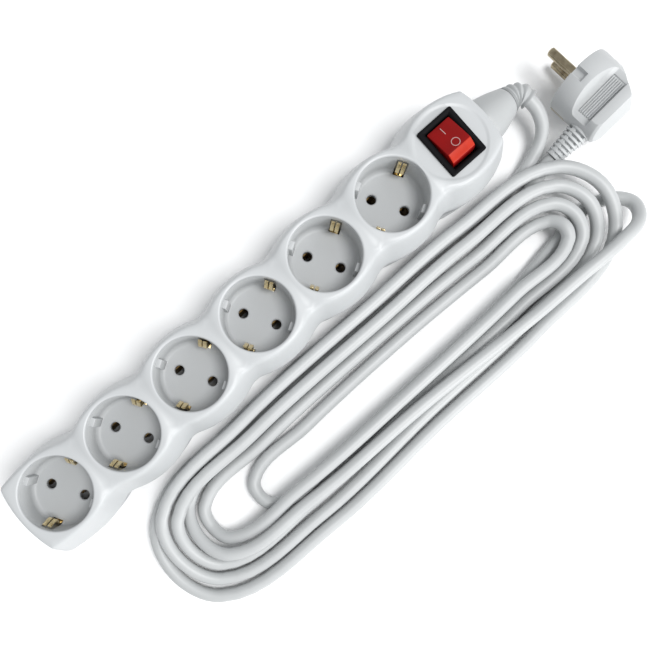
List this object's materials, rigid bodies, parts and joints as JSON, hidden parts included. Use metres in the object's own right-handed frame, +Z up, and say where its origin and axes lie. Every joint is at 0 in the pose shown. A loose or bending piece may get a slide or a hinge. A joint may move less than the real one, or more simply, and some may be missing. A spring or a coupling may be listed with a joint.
{
  "type": "power strip",
  "caption": "White earthed power strip with round recessed sockets, a lit red rocker switch, a flexible cord lying in loose loops and an angled two-pin plug.",
  "frame": {"origin": "centre of the housing's underside, on the floor", "axes": "+X along the strip towards the switch and cord, +Y across it away from the loops, +Z up"},
  "size_m": [0.4045, 0.1441, 0.0448],
  "materials": {
    "base_white": "fine matte moulding",
    "cover_white": "satin moulding",
    "cup_white": "satin moulding",
    "black_plastic": "dull moulding",
    "red_plastic": "polished clear red",
    "ivory_plastic": "plain",
    "brass": "stamped",
    "steel": "zinc plated",
    "brown_wire": "plain",
    "blue_wire": "plain",
    "green_wire": "plain",
    "black_wire": "plain",
    "cord_white": "soft sheath",
    "clamp_grey": "plain",
    "boot_white": "soft moulding",
    "plug_white": "soft moulding",
    "pin_metal": "nickel plated"
  },
  "bodies": {
    "housing": {"base_tray": "base_white", "top_cover": "cover_white", "socket_cup_1": "cup_white", "socket_cup_2": "cup_white", "socket_cup_3": "cup_white", "socket_cup_4": "cup_white", "socket_cup_5": "cup_white", "socket_cup_6": "cup_white", "earth_clip_1": "brass", "earth_clip_2": "brass", "earth_clip_3": "brass", "earth_clip_4": "brass", "earth_clip_5": "brass", "earth_clip_6": "brass", "live_bar": "brass", "neutral_bar": "brass", "earth_bar": "brass", "live_wire": "brown_wire", "neutral_wire": "blue_wire", "earth_wire": "green_wire", "switched_wire": "black_wire", "switch_frame": "black_plastic", "contact_lever": "brass", "switch_terminals": "brass", "cord_stub": "cord_white", "cord_clamp": "clamp_grey", "clamp_screws": "steel", "housing_screws": "steel", "cable_boot": "boot_white", "bend_relief": "boot_white", "cord_lead": "cord_white", "cord_loops": "cord_white", "cord_tail": "cord_white", "plug_body": "plug_white", "plug_grip": "plug_white", "plug_pins": "pin_metal", "plug_earth_strips": "pin_metal", "plug_relief": "plug_white"},
    "rocker": {"rocker": "red_plastic", "plunger": "ivory_plastic", "plunger_spring": "steel"}
  },
  "joints": [
    {"name": "rocker_pivot", "type": "hinge", "parent": "housing", "child": "rocker", "pos_m": [0.1358, 0, 0.038], "axis": [1, 0, 0], "range_deg": [0, 22]}
  ]
}
